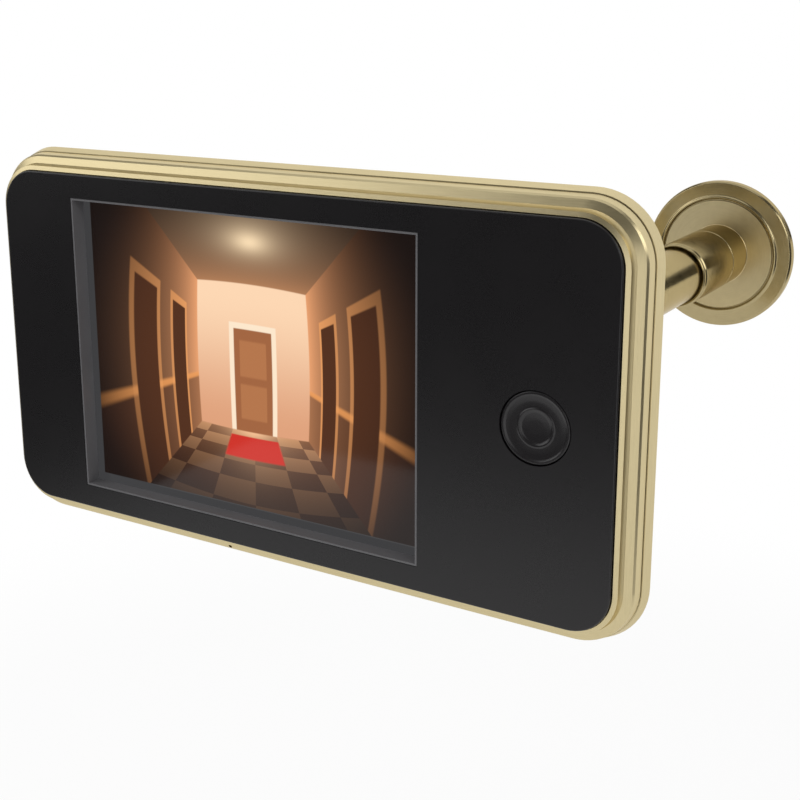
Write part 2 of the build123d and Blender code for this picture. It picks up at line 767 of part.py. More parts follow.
# Adhesive pads: two foam pads between the plate and the door, clear of the clamp
clamp_head_diameter = 17.0
pad_margin = 1.6
pad_gap = 2.4
large_pad_right = hole_from_centre_x - clamp_head_diameter / 2 - pad_gap
small_pad_top = hole_from_centre_z - clamp_head_diameter / 2 - pad_gap
with BuildPart() as adhesive_pads:
    with BuildSketch(at_depth(unit_depth + wall_air)):
        large_pad_width = large_pad_right - plate_left - pad_margin
        with Locations((plate_left + pad_margin + large_pad_width / 2, plate_centre[1])):
            RectangleRounded(large_pad_width, plate_height - pad_margin * 2, pad_margin)
        small_pad_width = plate_right - pad_margin - large_pad_right - pad_gap
        small_pad_height = small_pad_top - plate_bottom - pad_margin
        with Locations((
            plate_right - pad_margin - small_pad_width / 2,
            plate_bottom + pad_margin + small_pad_height / 2,
        )):
            RectangleRounded(small_pad_width, small_pad_height, pad_margin)
    extrude(amount=pad_thickness)
finish(adhesive_pads, "adhesive_pads")

# Clamp tube: a hollow screw whose slotted head pulls the plate and the camera head together
clamp_head_thickness = 1.0
clamp_head_air = 0.05
tube_chamfer = 0.5
coin_slot_width = 1.8
coin_slot_depth = 0.5
clamp_head_back = -pad_thickness - plate_thickness - clamp_head_air
clamp_head_front = clamp_head_back - clamp_head_thickness
with BuildPart() as clamp_tube:
    with BuildSketch(barrel_half_plane):
        with BuildLine():
            Polyline(
                (tube_bore / 2, clamp_head_front),
                (clamp_head_diameter / 2, clamp_head_front),
                (clamp_head_diameter / 2, clamp_head_back),
                (tube_diameter / 2, clamp_head_back),
                (tube_diameter / 2, tube_end_y - tube_chamfer),
                (tube_diameter / 2 - tube_chamfer, tube_end_y),
                (tube_bore / 2, tube_end_y),
                close=True,
            )
        make_face()
    revolve(axis=Axis.Y)
    with BuildSketch(across_barrel(clamp_head_front)):
        Rectangle(clamp_head_diameter + cut_overrun, coin_slot_width)
    extrude(amount=coin_slot_depth, mode=Mode.SUBTRACT)
finish(clamp_tube, "clamp_tube")

# Outer barrel: the threaded sleeve that the tube screws into, with a stepped ring at its open end
barrel_ring_width = 0.9
barrel_ring_step = 0.15
barrel_chamfer = 0.3
with BuildPart() as outer_barrel:
    with BuildSketch(barrel_half_plane):
        with BuildLine():
            Polyline(
                (barrel_bore_radius, barrel_end_y + barrel_chamfer),
                (barrel_bore_radius + barrel_chamfer, barrel_end_y),
                (barrel_diameter / 2 - barrel_ring_step - barrel_chamfer / 2, barrel_end_y),
                (barrel_diameter / 2 - barrel_ring_step, barrel_end_y + barrel_chamfer / 2),
                (barrel_diameter / 2 - barrel_ring_step, barrel_end_y + barrel_ring_width),
                (barrel_diameter / 2, barrel_end_y + barrel_ring_width + barrel_ring_step),
                (barrel_diameter / 2, stem_end_y - barrel_chamfer / 2),
                (barrel_diameter / 2 - barrel_chamfer / 2, stem_end_y),
                (barrel_bore_radius, stem_end_y),
                close=True,
            )
        make_face()
    revolve(axis=Axis.Y)
finish(outer_barrel, "outer_barrel")

# Camera flange: a turned disc with a stem that carries the camera, its near face against the door
spigot_reach = 2.5
spigot_wall = 1.35
stem_wall = 1.0
spigot_bore = tube_diameter - spigot_wall * 2
camera_bore = barrel_diameter - stem_wall * 2
shoulder_reach = 1.1
stem_groove = 0.15
disc_recess = 0.25
ring_share = 0.79
ring_width = 0.5
ring_proud = 0.1
ring_groove_width = 0.22
ring_groove_depth = 0.3
annulus_fall = 0.7
rim_chamfer = 0.3
bevel_width = 1.8
bevel_depth = 0.8
flange_radius = flange_diameter / 2
ring_radius = flange_radius * ring_share
flange_far_y = flange_near_y + flange_thickness
shoulder_y = stem_end_y + shoulder_reach
disc_y = flange_near_y + disc_recess
with BuildPart() as camera_flange:
    with BuildSketch(barrel_half_plane):
        with BuildLine():
            Polyline(
                (spigot_bore / 2, stem_end_y - spigot_reach),
                (tube_diameter / 2, stem_end_y - spigot_reach),
                (tube_diameter / 2, stem_end_y),
                (barrel_diameter / 2 - stem_groove, stem_end_y),
                (barrel_diameter / 2, stem_end_y + stem_groove),
                (barrel_diameter / 2, disc_y),
                (ring_radius - ring_width - ring_groove_width, disc_y),
                (ring_radius - ring_width - ring_groove_width, disc_y + ring_groove_depth),
                (ring_radius - ring_width, disc_y + ring_groove_depth),
                (ring_radius - ring_width, flange_near_y),
                (ring_radius - ring_width + ring_proud, flange_near_y - ring_proud),
                (ring_radius, flange_near_y - ring_proud),
                (ring_radius, flange_near_y),
                (flange_radius - rim_chamfer, flange_near_y + annulus_fall - rim_chamfer),
                (flange_radius, flange_near_y + annulus_fall),
                (flange_radius, flange_far_y - bevel_depth),
                (flange_radius - bevel_width, flange_far_y),
                (camera_bore / 2, flange_far_y),
                (camera_bore / 2, shoulder_y),
                (spigot_bore / 2, shoulder_y),
                close=True,
            )
        make_face()
    revolve(axis=Axis.Y)
finish(camera_flange, "camera_flange")

# Camera board with its image sensor and the socket for the ribbon, seated on the stem's shoulder
camera_part_radius = camera_bore / 2 - running_clearance * 2
camera_board_thickness = 0.8
sensor_width = 4.6
sensor_height = 0.7
camera_socket_width = 6.0
camera_socket_depth = 2.4
camera_socket_height = 1.0
camera_board_front = shoulder_y + camera_board_thickness
with BuildPart() as camera_board:
    with BuildSketch(across_barrel(shoulder_y)):
        Circle(camera_part_radius)
    extrude(amount=camera_board_thickness)
finish(camera_board, "camera_board")

with BuildPart() as image_sensor:
    with BuildSketch(across_barrel(camera_board_front)):
        Rectangle(sensor_width, sensor_width)
    extrude(amount=sensor_height)
finish(image_sensor, "image_sensor")

with BuildPart() as camera_socket:
    with BuildSketch(across_barrel(shoulder_y - camera_socket_height)):
        Rectangle(camera_socket_width, camera_socket_depth)
    extrude(amount=camera_socket_height)
finish(camera_socket, "camera_socket")

# Lens holder: glued on the board over the sensor, with the thread for the lens barrel
holder_pocket = 6.0
holder_pocket_depth = 1.9
holder_length = 5.5
lens_barrel_diameter = 7.0
with BuildPart() as lens_holder:
    with BuildSketch(across_barrel(camera_board_front)):
        Circle(camera_part_radius)
    extrude(amount=holder_length)
    with BuildSketch(across_barrel(camera_board_front)):
        Rectangle(holder_pocket, holder_pocket)
    extrude(amount=holder_pocket_depth, mode=Mode.SUBTRACT)
    with BuildSketch(across_barrel(camera_board_front)):
        Circle(lens_barrel_diameter / 2 + running_clearance)
    extrude(amount=holder_length, mode=Mode.SUBTRACT)
finish(lens_holder, "lens_holder")

# Lens ring and cover glass: the black ring in the flange's outer face and the glass set into it
lens_ring_diameter = 14.0
lens_ring_proud = 1.0
lens_ring_chamfer = 0.4
lens_ring_reach = 2.4
cover_glass_diameter = 9.5
cover_glass_thickness = 0.8
cover_seat = 0.45
ring_top_y = flange_far_y + lens_ring_proud
cover_back_y = ring_top_y - cover_glass_thickness - running_clearance * 2
cover_pocket_radius = cover_glass_diameter / 2 + running_clearance
with BuildPart() as lens_ring:
    with BuildSketch(barrel_half_plane):
        with BuildLine():
            Polyline(
                (cover_pocket_radius - cover_seat, flange_far_y - lens_ring_reach),
                (camera_part_radius, flange_far_y - lens_ring_reach),
                (camera_part_radius, flange_far_y),
                (lens_ring_diameter / 2, flange_far_y),
                (lens_ring_diameter / 2 - lens_ring_chamfer, ring_top_y),
                (cover_pocket_radius, ring_top_y),
                (cover_pocket_radius, cover_back_y),
                (cover_pocket_radius - cover_seat, cover_back_y),
                close=True,
            )
        make_face()
    revolve(axis=Axis.Y)
finish(lens_ring, "lens_ring")

with BuildPart() as cover_glass:
    with BuildSketch(across_barrel(cover_back_y)):
        Circle(cover_glass_diameter / 2)
    extrude(amount=cover_glass_thickness)
finish(cover_glass, "cover_glass")

# Lens barrel with its front and rear glass elements
lens_front_diameter = 8.2
lens_front_length = 1.8
lens_bore = 4.8
element_diameter = 5.7
element_seat_depth = 1.0
element_edge = 0.6
element_crown = 0.9
rear_element_thickness = 1.2
rear_element_reach = 2.0
lens_back_y = camera_board_front + holder_pocket_depth + open_clearance
lens_front_y = cover_back_y - element_crown
element_seat_y = lens_front_y - element_seat_depth
with BuildPart() as lens_barrel:
    with BuildSketch(barrel_half_plane):
        with BuildLine():
            Polyline(
                (lens_bore / 2, lens_back_y),
                (lens_barrel_diameter / 2, lens_back_y),
                (lens_barrel_diameter / 2, lens_front_y - lens_front_length),
                (lens_front_diameter / 2, lens_front_y - lens_front_length),
                (lens_front_diameter / 2, lens_front_y),
                (element_diameter / 2 + running_clearance, lens_front_y),
                (element_diameter / 2 + running_clearance, element_seat_y),
                (lens_bore / 2, element_seat_y),
                close=True,
            )
        make_face()
    revolve(axis=Axis.Y)
finish(lens_barrel, "lens_barrel")

with BuildPart() as front_lens_element:
    with BuildSketch(barrel_half_plane):
        with BuildLine():
            Line((0, element_seat_y), (element_diameter / 2, element_seat_y))
            Line((element_diameter / 2, element_seat_y), (element_diameter / 2, element_seat_y + element_edge))
            SagittaArc(
                (element_diameter / 2, element_seat_y + element_edge),
                (-element_diameter / 2, element_seat_y + element_edge),
                -element_crown,
            )
            Line((-element_diameter / 2, element_seat_y + element_edge), (-element_diameter / 2, element_seat_y))
            Line((-element_diameter / 2, element_seat_y), (0, element_seat_y))
        make_face()
        split(bisect_by=Plane.YZ)
    revolve(axis=Axis.Y)
finish(front_lens_element, "front_lens_element")

with BuildPart() as rear_lens_element:
    with BuildSketch(across_barrel(lens_back_y + rear_element_reach)):
        Circle(lens_bore / 2 - running_clearance)
    extrude(amount=rear_element_thickness)
    chamfer(rear_lens_element.faces().sort_by(Axis.Y)[-1].edges(), length=element_edge / 2)
finish(rear_lens_element, "rear_lens_element")

# Ribbon cable: runs down the middle of the tube, bends down behind the board and ends in its socket
ribbon_width = 5.0
ribbon_thickness = 0.3
ribbon_bend = 3.2
ribbon_run_down = 6.0
ribbon_socket_width = 7.0
ribbon_socket_length = 4.0
ribbon_socket_height = 1.6
ribbon_y = panel_front_y + board_back + ribbon_socket_height / 2
ribbon_start_y = shoulder_y - camera_socket_height
with BuildPart() as ribbon_cable:
    with BuildLine(Plane.YZ) as ribbon_route:
        FilletPolyline(
            (ribbon_start_y, 0),
            (ribbon_y, 0),
            (ribbon_y, -ribbon_run_down),
            radius=ribbon_bend,
        )
    with BuildSketch(Plane(origin=ribbon_route.line @ 0, x_dir=(1, 0, 0), z_dir=ribbon_route.line % 0)):
        Rectangle(ribbon_width, ribbon_thickness)
    sweep(path=ribbon_route.line)
finish(ribbon_cable, "ribbon_cable")
print(f"ribbon length {ribbon_route.wire().length:.1f} mm, bend radius {ribbon_bend} mm")

with BuildPart() as ribbon_socket:
    with BuildSketch(at_depth(board_back + ribbon_socket_height)):
        with Locations((hole_from_centre_x, hole_from_centre_z - ribbon_run_down - ribbon_socket_length / 2)):
            Rectangle(ribbon_socket_width, ribbon_socket_length)
    extrude(amount=ribbon_socket_height)
finish(ribbon_socket, "ribbon_socket")
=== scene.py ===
import math

import bmesh
import bpy
import numpy as np
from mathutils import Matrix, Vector


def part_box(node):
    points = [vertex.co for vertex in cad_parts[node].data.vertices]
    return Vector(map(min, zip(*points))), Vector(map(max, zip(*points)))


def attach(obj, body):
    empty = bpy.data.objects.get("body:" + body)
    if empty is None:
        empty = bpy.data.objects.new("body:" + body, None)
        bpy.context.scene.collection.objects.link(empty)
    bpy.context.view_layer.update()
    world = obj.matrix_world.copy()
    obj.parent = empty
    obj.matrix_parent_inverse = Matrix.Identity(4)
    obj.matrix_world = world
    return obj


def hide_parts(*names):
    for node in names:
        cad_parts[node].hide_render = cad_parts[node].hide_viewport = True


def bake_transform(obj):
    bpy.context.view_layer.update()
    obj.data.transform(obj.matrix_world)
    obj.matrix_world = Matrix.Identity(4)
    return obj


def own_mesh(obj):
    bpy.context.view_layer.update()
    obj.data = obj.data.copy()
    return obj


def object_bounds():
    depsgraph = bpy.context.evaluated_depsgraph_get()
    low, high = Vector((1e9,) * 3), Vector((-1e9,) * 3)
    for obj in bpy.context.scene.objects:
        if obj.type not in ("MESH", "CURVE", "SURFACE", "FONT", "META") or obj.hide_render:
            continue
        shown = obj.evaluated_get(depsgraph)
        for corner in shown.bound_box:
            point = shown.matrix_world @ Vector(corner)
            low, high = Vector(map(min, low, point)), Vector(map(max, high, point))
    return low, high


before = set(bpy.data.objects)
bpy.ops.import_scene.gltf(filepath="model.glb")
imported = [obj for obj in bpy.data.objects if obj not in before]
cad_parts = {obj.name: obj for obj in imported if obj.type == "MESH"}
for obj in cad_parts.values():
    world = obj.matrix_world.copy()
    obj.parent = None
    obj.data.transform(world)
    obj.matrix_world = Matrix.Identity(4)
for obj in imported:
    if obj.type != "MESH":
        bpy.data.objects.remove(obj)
cad_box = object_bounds()
mm = 0.001

# The front frame is the bezel that the whole monitor hangs on, with a stepped rim round the panel.
# It is cast, then lacquered in satin champagne with a fine brushed grain along each side.
# The panel is glued to its web, and the rear shell is screwed to the bosses behind it.


def feed(socket, value):
    """Links a signal to a socket, or sets the socket's own value."""
    if isinstance(value, Signal):
        socket.id_data.links.new(value.socket, socket)
    elif socket.type == "RGBA":
        socket.default_value = (*value, 1.0)
    else:
        socket.default_value = value


class Signal:
    """One output of a shader node. Arithmetic on it adds Math nodes to the same tree."""

    def __init__(self, tree, socket):
        self.tree = tree
        self.socket = socket

    def math(self, operation, *values):
        """A Math node with that operation on those values."""
        made = self.tree.nodes.new("ShaderNodeMath")
        made.operation = operation
        for place, value in zip(made.inputs, values):
            feed(place, value)
        return Signal(self.tree, made.outputs[0])

    def __add__(self, other):
        return self.math("ADD", self, other)

    __radd__ = __add__

    def __sub__(self, other):
        return self.math("SUBTRACT", self, other)

    def __rsub__(self, other):
        return self.math("SUBTRACT", other, self)

    def __mul__(self, other):
        return self.math("MULTIPLY", self, other)

    __rmul__ = __mul__

    def __truediv__(self, other):
        return self.math("DIVIDE", self, other)

    def __rtruediv__(self, other):
        return self.math("DIVIDE", other, self)

    def __pow__(self, other):
        return self.math("POWER", self, other)

    def __abs__(self):
        return self.math("ABSOLUTE", self)


class Finish:
    """A node tree with one shader, and the textures that feed it."""

    def __init__(self, owner, shader="Principled BSDF"):
        owner.use_nodes = True
        self.owner = owner
        self.tree = owner.node_tree
        self.shader = self.tree.nodes[shader]

    def wear(self, sockets):
        """Sets the shader's sockets to values or signals."""
        for name, value in sockets.items():
            feed(self.shader.inputs[name], value)

    def node(self, kind, settings=None, inputs=None, output=0):
        """Adds a node of that kind, its settings first, then its sockets, and gives one output."""
        made = self.tree.nodes.new("ShaderNode" + kind)
        for name, value in (settings or {}).items():
            setattr(made, name, value)
        for name, value in (inputs or {}).items():
            feed(made.inputs[name], value)
        return Signal(self.tree, made.outputs[output])

    def place(self):
        """Where a point of the piece lies, in the row frame."""
        return self.node("TexCoord", output="Object")

    def axes(self, vector):
        """The three numbers of a vector."""
        split = self.node("SeparateXYZ", inputs={"Vector": vector})
        return [Signal(self.tree, socket) for socket in split.socket.node.outputs]

    def vector(self, x, y, z):
        """A vector of three numbers."""
        return self.node("CombineXYZ", inputs={"X": x, "Y": y, "Z": z})

    def noise(self, vector, sizes, detail=2.0):
        """Noise from 0 to 1 whose grains have those sizes along the vector's axes."""
        shares = tuple(1 / size for size in sizes)
        scaled = self.node("VectorMath", {"operation": "MULTIPLY"}, {0: vector, 1: shares})
        return self.node("TexNoise", inputs={"Vector": scaled, "Scale": 1.0, "Detail": detail})

    def rise(self, signal, low, high):
        """0 below low and 1 above high, with a smooth step between. It falls where low is above high."""
        limits = {"Value": signal, "From Min": low, "From Max": high}
        return self.node("MapRange", {"interpolation_type": "SMOOTHSTEP"}, limits)

    def band(self, signal, low, high, soft):
        """1 between low and high, with soft edges."""
        return self.rise(signal, low - soft, low + soft) - self.rise(signal, high - soft, high + soft)

    def below(self, signal, limit, soft):
        """1 below the limit and 0 above it, with a soft edge."""
        return self.rise(signal, limit + soft, limit - soft)

    def mix(self, share, low, high):
        """The colour low where share is 0, and high where it is 1."""
        return self.node("Mix", {"data_type": "RGBA"}, {0: share, 6: low, 7: high}, output=2)

    def bump(self, height, depth):
        """The surface's normal with that relief, whose full height is depth in metres."""
        return self.node("Bump", inputs={"Strength": 1.0, "Distance": depth, "Height": height})


def new_finish(name, **sockets):
    """A material with those constant sockets, written with _ for a space."""
    made = Finish(bpy.data.materials.new(name))
    made.wear({key.replace("_", " "): value for key, value in sockets.items()})
    return made


def dress(finish, *names):
    """Gives CAD nodes a finish."""
    for name in names:
        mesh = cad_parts[name].data
        mesh.materials.clear()
        mesh.materials.append(finish.owner)


champagne_light = (0.74, 0.63, 0.375)
champagne_deep = (0.54, 0.455, 0.26)
brush_width = 0.20 * mm
brush_length = 4 * mm
brush_depth = 0.012 * mm
cloud_size = 14 * mm
colour_grain_share = 0.7
gloss_grain_share = 0.6
side_change = 0.15


def brushed(name, light, deep, smooth, rough):
    """Lacquered metal with a brushed grain over soft clouds. The grain is noise drawn out along X,
    or along Z where a face looks more sideways than up."""
    finish = new_finish(name, Metallic=1.0, Specular_Tint=(0.93, 0.89, 0.78))
    place = finish.place()
    face_x, _, face_z = finish.axes(finish.node("NewGeometry", output="Normal"))
    upright = finish.rise(abs(face_x) - abs(face_z), -side_change, side_change)
    level_grain = finish.noise(place, (brush_length, brush_width, brush_width), 3.0)
    upright_grain = finish.noise(place, (brush_width, brush_width, brush_length), 3.0)
    grain = level_grain + upright * (upright_grain - level_grain)
    cloud = finish.noise(place, (cloud_size,) * 3)
    tone = grain * colour_grain_share + cloud * (1 - colour_grain_share)
    dullness = grain * gloss_grain_share + cloud * (1 - gloss_grain_share)
    finish.wear({
        "Base Color": finish.mix(tone, deep, light),
        "Roughness": smooth + (rough - smooth) * dullness,
        "Normal": finish.bump(grain, brush_depth),
    })
    return finish


champagne = brushed("satin_champagne", champagne_light, champagne_deep, smooth=0.24, rough=0.40)
dress(champagne, "front_frame")

# The front panel is a flat sheet of black acrylic with a satin gloss, cut out for the screen and
# the button. It drops into the frame's rim, on a bead of glue, and it is bare of any marking.

panel_black = (0.0040, 0.0034, 0.0042)
panel_brown = (0.0062, 0.0050, 0.0060)
haze_size = 9 * mm
fleck_size = 0.18 * mm
colour_haze_share = 0.6
gloss_haze_share = 0.5


def glossy(name, deep, light, smooth, rough, relief):
    """Hard plastic: two close tones in soft clouds, a roughness that follows them, and fine flecks."""
    finish = new_finish(name)
    place = finish.place()
    haze = finish.noise(place, (haze_size,) * 3)
    fleck = finish.noise(place, (fleck_size,) * 3)
    tone = haze * colour_haze_share + fleck * (1 - colour_haze_share)
    dullness = haze * gloss_haze_share + fleck * (1 - gloss_haze_share)
    finish.wear({
        "Base Color": finish.mix(tone, deep, light),
        "Roughness": smooth + (rough - smooth) * dullness,
        "Normal": finish.bump(fleck, relief),
    })
    return finish


acrylic = glossy("panel_black", panel_black, panel_brown, smooth=0.24, rough=0.32, relief=0.0006 * mm)
dress(acrylic, "front_panel")

# The screen surround is a moulded grey frame whose thin walls line the panel's window.
# Its flange is clipped between the panel and the display glass, and keeps the two apart.

surround_deep = (0.100, 0.098, 0.104)
surround_light = (0.160, 0.157, 0.163)
surround = glossy(
    "surround_grey", surround_deep, surround_light, smooth=0.34, rough=0.46, relief=0.001 * mm
)
dress(surround, "screen_surround")

# The display is a sheet of glass over a lit tray, held behind the panel's window by the frame. It
# shows what the door camera sees: here a landing in warm lamp light, with a tiled floor, two doors
# a side and a mat, bent by a wide lens.

picture_x = -52.1 * mm
picture_z = -9.1 * mm
picture_half_width = 34.4 * mm
picture_half_height = 26.0 * mm
picture_edge = 0.12 * mm
bulge_share = 0.30
aim_across = 0.05
aim_up = 0.04
far_half_width = 0.36
far_half_height = 0.40
soft_line = 0.012
warmth_power = 2.4

display = new_finish(
    "screen_glass", Roughness=0.06, Specular_IOR_Level=0.3, Base_Color=(0.004, 0.004, 0.005),
    Emission_Strength=1.0,
)
display_x, display_y, display_z = display.axes(display.place())
across = (display_x - picture_x) / picture_half_width
upward = (display_z - picture_z) / picture_half_width
spread = across * across + upward * upward
bulge = 1 + bulge_share * spread
hall_x = across * bulge - aim_across
hall_z = upward * bulge - aim_up

# The hall is in one-point perspective. The far wall is where both shares are under 1. Elsewhere the
# larger share says which of wall, floor or ceiling is seen, and 1 over it is the distance there,
# from 0 at the viewer to 1 at the far wall.
side_share = abs(hall_x) / far_half_width
level_share = abs(hall_z) / far_half_height
nearness = side_share.math("MAXIMUM", side_share, level_share)
distance = 1 / nearness.math("MAXIMUM", nearness, 1.0)
on_wall = display.rise(side_share - level_share, -soft_line, soft_line)
on_far = display.below(nearness, 1, soft_line)
above = display.rise(hall_z, -soft_line, soft_line)
height = hall_z / far_half_height * distance
aside = hall_x / far_half_width * distance
warmth = distance ** warmth_power

# The ceiling grows dark towards the viewer, round a flat lamp.
ceiling_night = (0.012, 0.006, 0.004)
ceiling_warm = (0.42, 0.19, 0.085)
lamp_white = (1.0, 0.76, 0.48)
lamp_distance = 0.60
lamp_length = 0.07
lamp_width = 0.22
lamp_glow = 1 / (1 + ((distance - lamp_distance) / lamp_length) ** 2 + (aside / lamp_width) ** 2)
ceiling = display.mix(warmth, ceiling_night, ceiling_warm)
ceiling = display.mix(lamp_glow, ceiling, lamp_white)

# The floor is tiled in two tones, with a shine down its middle and a red mat before the far door.
night_brown = (0.012, 0.005, 0.003)
tile_dark = (0.16, 0.055, 0.022)
tile_light = (0.50, 0.24, 0.11)
tile_shine = (0.95, 0.55, 0.30)
tile_rows = 9.0
tile_columns = 2.5
shine_width = 0.35
mat_red = (0.62, 0.030, 0.018)
mat_near = 0.70
mat_far = 0.93
mat_half_width = 0.40
mat_end_soft = 0.01
mat_side_soft = 0.02
tile_number = (distance * tile_rows).math("FLOOR", distance * tile_rows)
tile_number = tile_number + aside.math("FLOOR", aside * tile_columns)
odd_tile = abs(tile_number.math("MODULO", tile_number, 2.0))
tiles = display.mix(odd_tile, tile_dark, tile_light)
floor_shine = 1 / (1 + (aside / shine_width) ** 2)
tiles = display.mix(floor_shine * warmth, tiles, tile_shine)
tiles = display.mix(1 - warmth, tiles, night_brown)
mat = display.band(distance, mat_near, mat_far, mat_end_soft)
mat = mat * display.below(abs(aside), mat_half_width, mat_side_soft)
tiles = display.mix(mat, tiles, mat_red)

# Each side wall has a darker foot under a rail, and two doors in lit frames.
wall_warm = (0.82, 0.36, 0.16)
foot_brown = (0.10, 0.034, 0.014)
rail_orange = (0.85, 0.34, 0.10)
frame_orange = (0.86, 0.36, 0.12)
door_brown = (0.085, 0.028, 0.010)
foot_top = -0.33
foot_soft = 0.03
foot_share = 0.6
rail_low = -0.35
rail_high = -0.29
rail_soft = 0.02
rail_share = 0.8
door_spans = ((0.40, 0.53), (0.66, 0.80))
door_head = 0.45
door_soft = 0.004
head_soft = 0.01
frame_width = 0.022
frame_head = 0.53
frame_dim_share = 0.35
wall = display.mix(warmth, night_brown, wall_warm)
wall_foot = display.below(height, foot_top, foot_soft)
wall = display.mix(wall_foot * foot_share, wall, foot_brown)
rail = display.band(height, rail_low, rail_high, rail_soft)
wall = display.mix(rail * rail_share, wall, rail_orange)
for door_near, door_far in door_spans:
    opening = display.band(distance, door_near, door_far, door_soft)
    opening = opening * display.below(height, door_head, head_soft)
    trim = display.band(distance, door_near - frame_width, door_far + frame_width, door_soft)
    trim = trim * display.below(height, frame_head, head_soft)
    trim_lit = frame_dim_share + (1 - frame_dim_share) * warmth
    wall = display.mix(trim * trim_lit, wall, frame_orange)
    wall = display.mix(opening, wall, door_brown)

# The far wall is the lightest, and has one door with two panels in a pale frame.
far_low = (0.74, 0.36, 0.20)
far_high = (0.98, 0.68, 0.45)
far_frame_pale = (0.98, 0.80, 0.60)
far_door_brown = (0.36, 0.13, 0.050)
far_panel_brown = (0.46, 0.18, 0.070)
far_frame_half_width = 0.41
far_frame_head = 0.45
far_door_half_width = 0.33
far_door_head = 0.37
far_panel_half_width = 0.23
far_panel_half_gap = 0.05
far_panel_reach = 0.52
far_panel_soft = 0.02
far_door_middle = -0.30
far_tone_low = -1.0
far_tone_high = 0.9
far_wall = display.mix(display.rise(height, far_tone_low, far_tone_high), far_low, far_high)
far_trim = display.below(abs(aside), far_frame_half_width, head_soft)
far_trim = far_trim * display.below(height, far_frame_head, head_soft)
far_door = display.below(abs(aside), far_door_half_width, head_soft)
far_door = far_door * display.below(height, far_door_head, head_soft)
far_wall = display.mix(far_trim, far_wall, far_frame_pale)
far_wall = display.mix(far_door, far_wall, far_door_brown)
from_door_middle = abs(height - far_door_middle)
door_panel = display.below(abs(aside), far_panel_half_width, head_soft)
door_panel = door_panel * display.band(
    from_door_middle, far_panel_half_gap, far_panel_reach, far_panel_soft
)
far_wall = display.mix(door_panel * far_door, far_wall, far_panel_brown)

# The picture darkens towards its corners. The grey border round it is painted light: the glass glows dim
# grey there, standing in for a lit grey border. Only the glass's front lights.
corner_night = (0.006, 0.003, 0.002)
corner_share = 0.94
corner_from = 0.2
corner_to = 1.4
painted_glow_border = (0.045, 0.045, 0.047)
unlit = (0.0, 0.0, 0.0)
lit_depth = 0.2 * mm
lit_depth_soft = 0.1 * mm
picture = display.mix(above, tiles, ceiling)
picture = display.mix(on_wall, picture, wall)
picture = display.mix(on_far, picture, far_wall)
corners = display.rise(spread, corner_from, corner_to)
picture = display.mix(corners * corner_share, picture, corner_night)
lit_x = display.rise(abs(across), 1.0, 1.0 - picture_edge / picture_half_width)
lit_z = display.rise(
    abs(display_z - picture_z), picture_half_height, picture_half_height - picture_edge
)
# Outside the picture the glass front glows a painted dim grey, standing in for a lit grey border.
picture = display.mix(lit_x * lit_z, painted_glow_border, picture)
glass_front = display.below(display_y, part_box("lcd_glass")[0].y + lit_depth, lit_depth_soft)
display.wear({"Emission Color": display.mix(glass_front, unlit, picture)})
dress(display, "lcd_glass")

# The lit tray behind the glass is a sheet of clear plastic in a moulded black frame, with lamps
# along its edge. It clips to the glass, so only the black shows.
tray_deep = (0.012, 0.012, 0.013)
tray_light = (0.022, 0.022, 0.024)
light_tray = glossy("inner_black", tray_deep, tray_light, smooth=0.42, rough=0.55, relief=0.002 * mm)
dress(light_tray, "lcd_backlight")

# The call button is a black moulded cap with a dished face and a small inner disc.
# It floats in the panel's hole, and presses a tact switch that is soldered to the board.

merge_distance = 0.0005 * mm
sharp_angle = math.radians(32)


def rounded(corners, steps=5):
    """An outline through corners of (radius, depth, rounding), all in millimetres. Each corner is a
    quadratic curve from one side to the next, which leaves each side at the rounding's distance."""
    corner = np.array(corners, float) * mm
    point, reach = corner[:, :2], corner[:, 2:]
    before = np.roll(point, 1, axis=0) - point
    after = np.roll(point, -1, axis=0) - point
    start = point + before / np.linalg.norm(before, axis=1, keepdims=True) * reach
    end = point + after / np.linalg.norm(after, axis=1, keepdims=True) * reach
    t = np.linspace(0, 1, steps)[None, :, None]
    curve = (1 - t) ** 2 * start[:, None] + 2 * t * (1 - t) * point[:, None] + t ** 2 * end[:, None]
    return curve.reshape(-1, 2)


def woven(name, points, closed_rows, closed_columns=True):
    """A mesh on a grid of points, with a quad between each four neighbours. It goes on from the last
    row or column to the first where those close. Doubled points are merged and faces turned outwards."""
    rows, columns = points.shape[:2]
    row, column = np.meshgrid(
        np.arange(rows if closed_rows else rows - 1),
        np.arange(columns if closed_columns else columns - 1),
        indexing="ij",
    )
    next_row, next_column = (row + 1) % rows, (column + 1) % columns
    corners = (
        row * columns + column, row * columns + next_column,
        next_row * columns + next_column, next_row * columns + column,
    )
    mesh = bpy.data.meshes.new(name)
    mesh.from_pydata(points.reshape(-1, 3).tolist(), [], np.stack(corners, axis=-1).reshape(-1, 4).tolist())
    work = bmesh.new()
    work.from_mesh(mesh)
    bmesh.ops.remove_doubles(work, verts=work.verts, dist=merge_distance)
    if not (closed_rows and closed_columns):
        bmesh.ops.holes_fill(work, edges=work.edges, sides=0)
    bmesh.ops.recalc_face_normals(work, faces=work.faces)
    work.to_mesh(mesh)
    work.free()
    return mesh


def turned(name, outline, closed, centre=(0.0, 0.0), spokes=144):
    """A turned piece: each (radius, depth) of the outline goes round the axis through centre, along Y."""
    radius, depth = outline.T
    angle = np.linspace(0, 2 * np.pi, spokes, endpoint=False)
    x = centre[0] + np.outer(radius, np.sin(angle))
    z = centre[1] + np.outer(radius, np.cos(angle))
    y = np.repeat(depth[:, None], spokes, axis=1)
    return woven(name, np.stack([x, y, z], axis=-1), closed)


